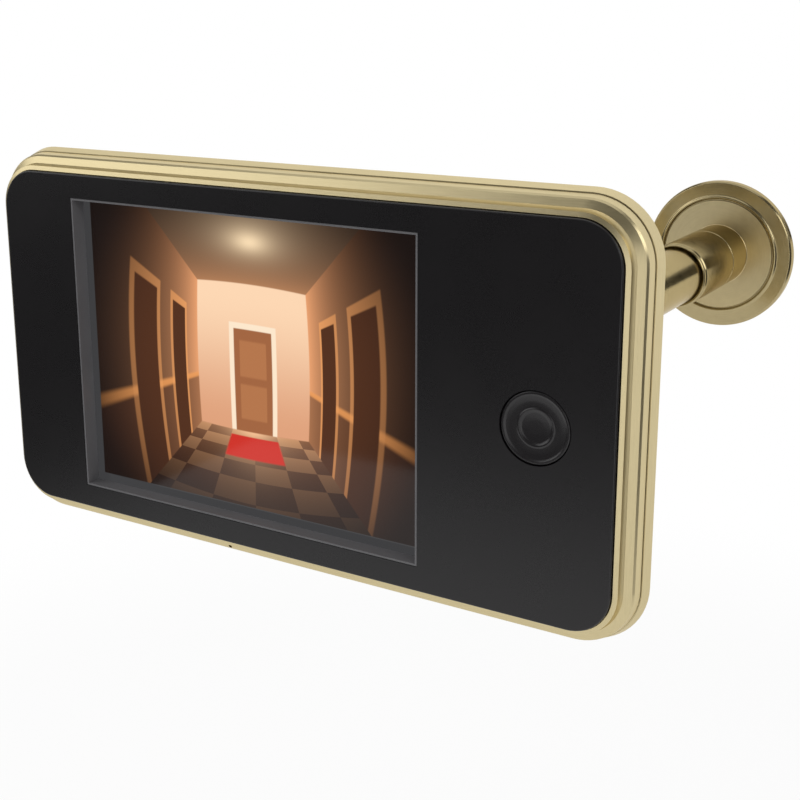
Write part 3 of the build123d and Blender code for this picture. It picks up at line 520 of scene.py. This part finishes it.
def fit(mesh, finish, body, slot, *nodes):
    """Makes a piece of a mesh, smooth but for its sharp edges, in place of CAD nodes. It rides a body,
    where one is given."""
    mesh.polygons.foreach_set("use_smooth", np.ones(len(mesh.polygons), bool))
    mesh.set_sharp_from_angle(angle=sharp_angle)
    mesh.materials.append(finish.owner)
    piece = bpy.data.objects.new(mesh.name, mesh)
    bpy.context.scene.collection.objects.link(piece)
    even = piece.modifiers.new("even_faces", "WEIGHTED_NORMAL")
    even.keep_sharp = True
    if body:
        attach(piece, body)
    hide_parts(*nodes)
    return piece


cap_deep = (0.0065, 0.0055, 0.0065)
cap_light = (0.0125, 0.0110, 0.0120)
cap_low, cap_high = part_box("button_cap")
cap_centre = ((cap_low.x + cap_high.x) / 2, (cap_low.z + cap_high.z) / 2)
cap_outline = rounded([
    (0, 0.48, 0), (1.3, 0.46, 0.3), (2.45, 0.37, 0.2), (2.72, 0.20, 0.06), (2.98, 0.16, 0.06),
    (3.15, 0.27, 0.10), (4.2, 0.24, 0.3), (5.0, 0.13, 0.15), (5.25, 0.0, 0.05), (5.55, 0.0, 0.06),
    (5.75, 0.14, 0.06), (5.75, 2.8, 0.05), (7.05, 2.8, 0.1), (7.05, 3.6, 0.1), (0, 3.6, 0),
]) + (0, cap_low.y)
cap_mesh = turned("call_button_cap", cap_outline, False, cap_centre)
cap_black = glossy("button_black", cap_deep, cap_light, smooth=0.20, rough=0.30, relief=0.001 * mm)
fit(cap_mesh, cap_black, "call_button", "panel_black", "button_cap")

switch_deep = (0.014, 0.014, 0.015)
switch_light = (0.024, 0.024, 0.026)
switch_black = glossy("switch_black", switch_deep, switch_light, smooth=0.40, rough=0.50, relief=0.002 * mm)
dress(switch_black, "switch_plunger", "switch_body")

# The main board is green glass-fibre with copper lines under its lacquer, and gilt pads.
# Two screws hold it to the frame; the display's strip and the camera's ribbon plug into it.

bare_green = (0.030, 0.150, 0.050)
line_green = (0.012, 0.075, 0.026)
gilt = (0.72, 0.52, 0.20)
line_pitch = 1.1 * mm
line_lean = 0.35
wander_size = 7 * mm
wander_lines = 5
pad_pitch = 2.4 * mm
fibre_size = 0.25 * mm
board = new_finish("board_green", Metallic=0.0, Coat_Weight=0.5, Coat_Roughness=0.2)
board_place = board.place()
board_x, _, board_z = board.axes(board_place)
wander = board.noise(board_place, (wander_size,) * 3, 0.0)
run = (board_x + board_z * line_lean) / line_pitch + wander * wander_lines
line = board.rise(run.math("PINGPONG", run, 0.5), 0.10, 0.16)
pad_cell = board.node(
    "TexVoronoi", {"feature": "F1"}, {"Vector": board_place, "Scale": 1 / pad_pitch}
)
pad = board.below(pad_cell, 0.20, 0.02)
fibre = board.noise(board_place, (fibre_size,) * 3)
board.wear({
    "Base Color": board.mix(pad, board.mix(line, bare_green, line_green), gilt),
    "Metallic": pad,
    "Roughness": 0.30 + fibre * 0.15,
    "Normal": board.bump(line * 0.5 + pad * 0.5 + fibre * 0.2, 0.02 * mm),
})
dress(board, "main_board", "camera_board")

chip_deep = (0.016, 0.016, 0.017)
chip_light = (0.030, 0.030, 0.031)
chip = glossy("chip_black", chip_deep, chip_light, smooth=0.45, rough=0.60, relief=0.003 * mm)
dress(chip, "board_chips", "image_sensor")

ivory_deep = (0.60, 0.55, 0.42)
ivory_light = (0.68, 0.63, 0.50)
ivory = glossy("socket_ivory", ivory_deep, ivory_light, smooth=0.35, rough=0.45, relief=0.002 * mm)
dress(ivory, "lcd_socket", "ribbon_socket", "camera_socket")

film_amber = (0.62, 0.22, 0.030)
conductor_brown = (0.48, 0.30, 0.10)
conductor_pitch = 0.5 * mm
flex = new_finish("flex_amber", Coat_Weight=0.3)
flex_x, _, _ = flex.axes(flex.place())
step = flex_x / conductor_pitch
conductor = flex.rise(step.math("PINGPONG", step, 0.5), 0.12, 0.22)
flex.wear({
    "Base Color": flex.mix(conductor, film_amber, conductor_brown),
    "Roughness": 0.26 + conductor * 0.12,
    "Normal": flex.bump(conductor, 0.02 * mm),
})
dress(flex, "lcd_flex")

# The rear shell is the moulded back of the monitor, lacquered like the frame that it closes.
# A battery door slides over its bay, and two screws and a tongue hold it to the frame.

dress(champagne, "rear_shell", "battery_door")

# The battery bay is a black tray with three cells, nickel-plated contact plates and leaf springs.
# The tray is moulded, and the shell and the frame hold it between them.

bay_deep = (0.014, 0.014, 0.014)
bay_light = (0.028, 0.028, 0.028)
bay_black = glossy("tray_black", bay_deep, bay_light, smooth=0.45, rough=0.60, relief=0.004 * mm)
dress(bay_black, "battery_tray")

bare_can = (0.66, 0.65, 0.62)
wrap_black = (0.020, 0.022, 0.026)
wrap_copper = (0.50, 0.26, 0.06)
wrap_from_share = 0.04
wrap_to_share = 0.94
copper_from_share = 0.62
scuff_size = 3 * mm
cell = new_finish("cell_wrap", Coat_Weight=0.4)
cell_place = cell.place()
_, _, cell_z = cell.axes(cell_place)
cell_low, cell_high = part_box("battery_cells")
cell_share = (cell_z - cell_low.z) / (cell_high.z - cell_low.z)
wrapped = cell.band(cell_share, wrap_from_share, wrap_to_share, 0.006)
copper = cell.rise(cell_share, copper_from_share, copper_from_share + 0.01)
wrap = cell.mix(copper, wrap_black, wrap_copper)
scuff = cell.noise(cell_place, (scuff_size,) * 3, 4.0)
cell.wear({
    "Base Color": cell.mix(wrapped, bare_can, wrap),
    "Metallic": 1 - wrapped,
    "Roughness": 0.24 + scuff * 0.16,
    "Normal": cell.bump(scuff, 0.01 * mm),
})
dress(cell, "battery_cells")

steel_light = (0.66, 0.65, 0.62)
steel_deep = (0.52, 0.51, 0.49)
steel = brushed("steel", steel_light, steel_deep, smooth=0.22, rough=0.38)
dress(steel, "battery_contacts", "battery_springs", "board_screws", "housing_screws", "lock_screw")

# The wall plate is pressed steel sheet with four hooks, and hangs on the clamp tube's head.
# Two strips of pale foam tape hold it flat on the door.

dress(steel, "wall_plate")

foam_deep = (0.46, 0.46, 0.45)
foam_light = (0.72, 0.72, 0.70)
bubble_size = 0.45 * mm
patch_size = 2 * mm
foam = new_finish("pad_foam", Roughness=0.85)
foam_place = foam.place()
bubble = foam.node("TexVoronoi", {"feature": "F1"}, {"Vector": foam_place, "Scale": 1 / bubble_size})
patch = foam.noise(foam_place, (patch_size,) * 3)
foam.wear({
    "Base Color": foam.mix(bubble * 0.6 + patch * 0.4, foam_deep, foam_light),
    "Normal": foam.bump(bubble, 0.08 * mm),
})
dress(foam, "adhesive_pads")

# The door tube, the sleeve that it screws into, the flange and the lens ring are turned brass.
# The lathe leaves fine rings round the axis, and the lacquer over them is thin and bright.

brass_light = (0.53, 0.44, 0.245)
brass_deep = (0.34, 0.275, 0.145)
lathe_width = 0.16 * mm
lathe_depth = 0.003 * mm
mottle_size = 1.6 * mm
gloss_lathe_share = 0.4


def lathed(name, light, deep, smooth, rough):
    """Turned metal: fine rings round the barrel's axis, and a soft mottle in its colour and gloss."""
    finish = new_finish(name, Metallic=1.0, Specular_Tint=(0.80, 0.72, 0.56))
    place = finish.place()
    x, y, z = finish.axes(place)
    radius = (x * x + z * z) ** 0.5
    turn = z.math("ARCTAN2", z, x)
    rings = finish.vector(radius / lathe_width, y / lathe_width, turn * 1.5)
    lathe = finish.noise(rings, (1.0, 1.0, 1.0), 3.0)
    mottle = finish.noise(place, (mottle_size,) * 3, 4.0)
    dullness = lathe * gloss_lathe_share + mottle * (1 - gloss_lathe_share)
    finish.wear({
        "Base Color": finish.mix(lathe * 0.5 + mottle * 0.5, deep, light),
        "Roughness": smooth + (rough - smooth) * dullness,
        "Normal": finish.bump(lathe, lathe_depth),
    })
    return finish


brass = lathed("polished_brass", brass_light, brass_deep, smooth=0.12, rough=0.26)

# The clamp tube has a coin slot along X across its head, a plain shank, and a thread at its end,
# inside the sleeve. The thread is right-handed, and eight turns draw the camera head in by 10 mm.
tube_low, tube_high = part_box("clamp_tube")
bore_radius = 4.0
shank_radius = 5.5
crest_radius = 5.6
head_radius = 8.5
head_thickness = 1.0
end_chamfer = 0.5
thread_pitch = 1.25 * mm
thread_depth = 0.4 * mm
thread_length = 4.6 * mm
thread_run_in = 0.8 * mm
thread_steps = 12
tooth_slope = 2.9
tooth_root_share = 0.2
slot_half_width = 0.9 * mm
slot_floor = tube_low.y + 0.5 * mm
slot_columns = 5
side_columns = 48


def clamp_screw(name):
    """A closed outline runs round the slotted tube's wall. A point at angle a of it is
    (radius * sin a, depth, radius * cos a). On the thread the radius falls from the crest by
    depth * (1 - h), where h rises and falls once per pitch in depth / pitch - a / full turn.
    Columns in the slot keep asin(half width / radius) from X, and are no higher than its floor."""
    end = tube_high.y / mm
    front = tube_low.y / mm
    back = front + head_thickness
    thread_start = end - thread_length / mm
    plain = rounded([
        (bore_radius, end, 0.05), (bore_radius, front + 0.5, 0), (bore_radius, front + 0.2, 0.02),
        (bore_radius + 0.2, front, 0.02), (6.2, front, 0.5), (head_radius - 0.15, front, 0.05),
        (head_radius, front + 0.15, 0.05), (head_radius, front + 0.5, 0),
        (head_radius, back - 0.1, 0.04), (head_radius - 0.1, back, 0.04),
        (shank_radius, back, 0.3), (shank_radius, thread_start, 0),
    ], 4)
    rows = int(thread_length / thread_pitch * thread_steps)
    along = np.linspace(thread_start, end, rows) * mm
    outline = np.vstack([plain, np.stack([np.full(rows, crest_radius * mm), along], axis=1)])
    radius, depth = outline[:, :1], outline[:, 1:]
    half_slot = np.arcsin(slot_half_width / radius)
    in_slot = np.linspace(-1, 1, slot_columns)[None]
    between = np.linspace(0, 1, side_columns)[None]
    half = np.hstack([in_slot * half_slot, half_slot + between * (np.pi - 2 * half_slot)])
    angle = np.hstack([half + np.pi / 2, half + np.pi * 1.5])
    sunk = np.tile(np.arange(slot_columns + side_columns) < slot_columns, 2)[None]
    phase = (depth / thread_pitch - angle / (2 * np.pi)) % 1
    tooth = np.clip((0.5 - np.abs(phase - 0.5)) * tooth_slope - tooth_root_share, 0, 1)
    grown = np.clip((depth - thread_start * mm) / thread_run_in, 0, 1)
    chamfer = np.clip(depth - (end - end_chamfer) * mm, 0, None)
    threaded = (np.arange(len(outline)) >= len(plain))[:, None]
    cut = np.maximum(thread_depth * (1 - tooth * grown), chamfer)
    reach = np.where(threaded, radius - cut, radius)
    y = np.where(sunk, np.maximum(depth, slot_floor), depth + 0 * angle)
    return woven(name, np.stack([reach * np.sin(angle), y, reach * np.cos(angle)], axis=-1), True)


fit(clamp_screw("clamp_screw"), brass, "clamp", "polished_brass", "clamp_tube")

# The sleeve is a thin tube, threaded inside, with a groove and a narrow ring turned at its near
# end. The flange's spigot is pressed into its far end.
barrel_low, barrel_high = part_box("outer_barrel")
barrel_radius = barrel_high.x / mm
barrel_bore = 5.65
barrel_length = 18
ring_radius = barrel_radius - 0.10
groove_radius = barrel_radius - 0.34
barrel_outline = rounded([
    (barrel_bore, 0.30, 0.05), (5.90, 0, 0.05), (barrel_radius - 0.28, 0, 0.06),
    (ring_radius, 0.18, 0.08), (ring_radius, 0.68, 0.06), (groove_radius, 0.84, 0.04),
    (groove_radius, 0.98, 0.04), (barrel_radius, 1.28, 0.08),
    (barrel_radius, barrel_length - 0.18, 0.05), (barrel_radius - 0.18, barrel_length, 0.04),
    (barrel_bore, barrel_length, 0.03),
]) + (0, barrel_low.y)
fit(turned("barrel_sleeve", barrel_outline, True), brass, "camera_head", "polished_brass", "outer_barrel")

# The flange's near face has a flat inner disc, a thin groove, a bright raised ring and an outer
# part that falls away to its rim. Its outline starts at the spigot that is pressed into the sleeve.
flange_low, flange_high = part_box("camera_flange")
flange_radius = flange_high.x / mm
flange_outline = rounded([
    (4.25, 0, 0.1), (5.6, 0, 0.15), (5.6, 2.5, 0), (barrel_radius - 0.2, 2.5, 0.03),
    (barrel_radius, 2.7, 0.06), (barrel_radius, 11.75, 0.15), (11.48, 11.75, 0.05), (11.48, 12.10, 0.04),
    (11.76, 12.10, 0.04), (11.80, 11.62, 0.06), (12.02, 11.40, 0.10), (12.30, 11.44, 0.12),
    (12.62, 11.66, 0.10), (flange_radius - 0.36, 11.98, 0.08), (flange_radius, 12.34, 0.10),
    (flange_radius, 14.10, 0.12), (flange_radius - 1.8, 14.90, 0.12), (5.3, 14.90, 0.05),
    (5.3, 3.6, 0.03), (4.25, 3.6, 0.03),
]) + (0, flange_low.y)
flange_mesh = turned("door_flange", flange_outline, True)
flange = fit(flange_mesh, brass, "camera_head", "polished_brass", "camera_flange")

# The flat disc inside the groove is left a duller, paler satin.
satin_light = (0.78, 0.67, 0.42)
satin_deep = (0.60, 0.50, 0.29)
disc_radius = 11.4
disc_depth = 13 * mm
satin_brass = lathed("satin_brass", satin_light, satin_deep, smooth=0.26, rough=0.38)
flange.data.materials.append(satin_brass.owner)
middle = np.empty(3 * len(flange.data.polygons))
flange.data.polygons.foreach_get("center", middle)
middle_x, middle_y, middle_z = middle.reshape(-1, 3).T
middle_radius = np.hypot(middle_x, middle_z) / mm
on_disc = (middle_radius > barrel_radius) & (middle_radius < disc_radius)
on_disc = on_disc & (middle_y < flange_low.y + disc_depth)
flange.data.polygons.foreach_set("material_index", on_disc.astype(np.int32))

# The camera sits in the flange: a small board with its sensor and socket, a black lens holder
# with a screw-in barrel of two glasses, and a round cover glass under the lens ring.

lens_deep = (0.008, 0.008, 0.008)
lens_light = (0.016, 0.016, 0.016)
lens_black = glossy("inner_black_lens", lens_deep, lens_light, smooth=0.30, rough=0.42, relief=0.002 * mm)
dress(lens_black, "lens_ring", "lens_holder", "lens_barrel")

smear_size = 1.2 * mm
optics = new_finish(
    "optical_glass", Base_Color=(0.97, 0.98, 1.0), Transmission_Weight=1.0, IOR=1.5,
    Coat_Weight=0.4, Coat_Tint=(0.75, 0.80, 1.0),
)
smear = optics.noise(optics.place(), (smear_size,) * 3, 4.0)
optics.wear({"Roughness": 0.01 + smear * 0.03})
dress(optics, "cover_glass", "front_lens_element", "rear_lens_element")

# The ribbon is a flat strip of film with copper conductors. It lies slack in the door tube, bends
# down behind the board into its socket, and has length to spare for a thicker or thinner door.

ribbon_low, ribbon_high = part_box("ribbon_cable")
ribbon_half_width = (ribbon_high.x - ribbon_low.x) / 2
ribbon_thickness = 0.3 * mm
ribbon_bend = 3.2 * mm
ribbon_mouth = 4.0 * mm
slack_height = 1.1 * mm
slack_waves = 3
slack_rows = 120
bend_rows = 16
run_rows = 24
drop_rows = 8


def strip(name, y, z):
    """A flat strip along a line of (y, z): a thin rectangle stands square to the line's direction at
    each of its points, level along X."""
    along_y, along_z = np.gradient(y), np.gradient(z)
    speed = np.hypot(along_y, along_z)
    normal_y, normal_z = -along_z / speed, along_y / speed
    x = np.array([-1, 1, 1, -1]) * ribbon_half_width
    rise = np.array([-1, -1, 1, 1]) * ribbon_thickness / 2
    points = np.stack([
        np.repeat(x[None], len(y), axis=0),
        y[:, None] + normal_y[:, None] * rise,
        z[:, None] + normal_z[:, None] * rise,
    ], axis=-1)
    return woven(name, points, False)


share = np.linspace(0, 1, slack_rows)
in_tube_y = ribbon_mouth + share * (ribbon_high.y - ribbon_mouth)
in_tube_z = slack_height * np.sin(np.pi * share) ** 2 * np.sin(2 * np.pi * slack_waves * share)
in_tube_mesh = strip("ribbon_in_tube", in_tube_y, in_tube_z)
in_tube = fit(in_tube_mesh, flex, "wall_mount", "flex_amber", "ribbon_cable")
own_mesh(in_tube)

bend_y = ribbon_low.y + ribbon_thickness / 2
quarter = np.linspace(0, np.pi / 2, bend_rows)[1:]
level = np.linspace(0, 1, run_rows)
board_y = np.concatenate([
    ribbon_mouth + level * (bend_y + ribbon_bend - ribbon_mouth),
    bend_y + ribbon_bend - ribbon_bend * np.sin(quarter),
    np.full(drop_rows, bend_y),
])
board_z = np.concatenate([
    level * 0,
    ribbon_bend * (np.cos(quarter) - 1),
    np.linspace(-ribbon_bend, ribbon_low.z, drop_rows + 1)[1:],
])
at_board = fit(strip("ribbon_at_board", board_y, board_z), flex, None, "flex_amber", "ribbon_cable")
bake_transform(at_board)

# The stage is a pale floor with soft lamps over and before the object. Cards and a dim room in
# front are seen only in its metal, as the reflectors of a photographer's studio are.


def softbox(name, place, size, power):
    """A square lamp at that place that faces the object."""
    lamp = bpy.data.lights.new(name, "AREA")
    lamp.size = size
    lamp.energy = power
    holder = bpy.data.objects.new(name, lamp)
    bpy.context.scene.collection.objects.link(holder)
    holder.location = place
    way = object_middle - Vector(place)
    holder.rotation_euler = way.to_track_quat("-Z", "Y").to_euler()
    holder.visible_camera = False


object_middle = (cad_box[0] + cad_box[1]) / 2
softbox("top_lamp", (-0.10, -0.10, 0.62), size=0.75, power=1.15)
softbox("left_lamp", (-0.72, -0.50, 0.32), size=0.65, power=1.9)
softbox("right_lamp", (0.65, -0.35, 0.35), size=0.40, power=1.3)


def sheet(name, corners, finish):
    """A flat sheet with those corners, which isn't part of the object."""
    mesh = bpy.data.meshes.new(name)
    mesh.from_pydata(corners, [], [(0, 1, 2, 3)])
    mesh.materials.append(finish.owner)
    made = bpy.data.objects.new(name, mesh)
    bpy.context.scene.collection.objects.link(made)
    return made


# The floor is white paper. The camera sees it as plain white far from the object, and the panel and
# the metal mirror it as a little darker in front of the object than behind it.
floor_z = -0.16
floor_front = -0.34
floor_back = 2.2
floor_left = -0.30
floor_right = 1.6
shadow_reach = 0.16
white_reach = 0.30
near_plainness = 0.85
middle_share = 0.55
back_share = 0.40
paper = new_finish("paper", Base_Color=(0.86, 0.86, 0.86), Roughness=0.9)
floor_x, floor_y, _ = paper.axes(paper.place())
from_middle = ((floor_x - object_middle.x) ** 2 + (floor_y - object_middle.y) ** 2) ** 0.5
camera_ray = paper.node("LightPath", output="Is Camera Ray")
glossy_ray = Signal(paper.tree, camera_ray.socket.node.outputs["Is Glossy Ray"])
plainness = near_plainness + (1 - near_plainness) * paper.rise(from_middle, shadow_reach, white_reach)
mirrored = middle_share * paper.rise(floor_y, -0.32, -0.12) + back_share * paper.rise(floor_y, 0.05, 0.25)
paper_white = paper.node("Emission", inputs={"Color": (1.0, 1.0, 1.0), "Strength": 1.0})
paper_lit = Signal(paper.tree, paper.shader.outputs[0])
plain_share = camera_ray * plainness + glossy_ray * mirrored
paper_seen = paper.node("MixShader", inputs={0: plain_share, 1: paper_lit, 2: paper_white})
feed(paper.tree.nodes["Material Output"].inputs["Surface"], paper_seen)
sheet("floor", [
    (floor_left, floor_front, floor_z), (floor_right, floor_front, floor_z),
    (floor_right, floor_back, floor_z), (floor_left, floor_back, floor_z),
], paper)

# A dark card behind the object gives the round brass its bands, a second on the floor darkens the
# frame's cove, and pale ones in front light its lips.
card_black = (0.01, 0.01, 0.01)
card_white = (1.0, 1.0, 1.0)
card_dark = new_finish("card_dark", Base_Color=card_black, Roughness=0.9)
card_pale = new_finish(
    "card_pale", Base_Color=(0, 0, 0), Roughness=0.9, Emission_Color=card_white, Emission_Strength=1.15,
)
card_soft = new_finish(
    "card_soft", Base_Color=(0, 0, 0), Roughness=0.9, Emission_Color=card_white, Emission_Strength=0.75,
)
for name, finish, corners in (
    ("side_card", card_dark, [
        (0.095, 0.42, 0), (0.22, 0.42, 0), (0.22, 0.42, 0.105), (0.095, 0.42, 0.105),
    ]),
    ("cove_card", card_dark, [
        (0.28, -0.34, -0.159), (1.4, -0.34, -0.159), (1.4, 0.14, -0.159), (0.28, 0.06, -0.159),
    ]),
    ("right_card", card_pale, [
        (-0.04, -0.62, -0.45), (0.42, -0.62, -0.45), (0.42, -0.62, 0.10), (-0.04, -0.62, 0.10),
    ]),
    ("left_card", card_soft, [
        (-0.60, -0.62, 0.14), (-0.22, -0.62, 0.14), (-0.22, -0.62, 0.27), (-0.60, -0.62, 0.27),
    ]),
):
    card = sheet(name, corners, finish)
    card.visible_camera = False
    card.visible_diffuse = False
    card.visible_shadow = False
    card.visible_transmission = False

# The room is white to the camera and behind the object. In front of it the room gives a soft, dim
# light, and the metal mirrors it as nearly dark.
front_gloss = 0.10
front_light = 0.45
world = bpy.data.worlds.new("studio")
bpy.context.scene.world = world
studio = Finish(world, "Background")
_, behind, _ = studio.axes(studio.node("TexCoord", output="Generated"))
camera_ray = studio.node("LightPath", output="Is Camera Ray")
rays = camera_ray.socket.node.outputs
plain_view = camera_ray.math("MAXIMUM", camera_ray, Signal(studio.tree, rays["Is Transmission Ray"]))
front_level = front_light + (front_gloss - front_light) * Signal(studio.tree, rays["Is Glossy Ray"])
level = front_level + (1 - front_level) * studio.rise(behind, 0.0, 0.28)
studio.wear({"Color": (1.0, 1.0, 1.0), "Strength": level + plain_view * (1 - level)})
bpy.context.scene.view_settings.view_transform = "Standard"

# The camera stands to the right of the monitor and above it, as in the photograph. It looks down a
# little, and its frame is shifted down to hold the whole object.

camera_place = (0.0810, -0.1855, 0.0505)
camera_yaw = 30.98
camera_pitch = 13.53
camera_lens = 58.05
camera_shift = -0.10
view = bpy.data.cameras.new("camera")
view.lens = camera_lens
view.shift_y = camera_shift
view.clip_start = 0.01
view.clip_end = 20.0
viewer = bpy.data.objects.new("camera", view)
bpy.context.scene.collection.objects.link(viewer)
viewer.location = camera_place
viewer.rotation_euler = (math.radians(90 - camera_pitch), 0, math.radians(camera_yaw))
bpy.context.scene.camera = viewer

bpy.context.view_layer.update()
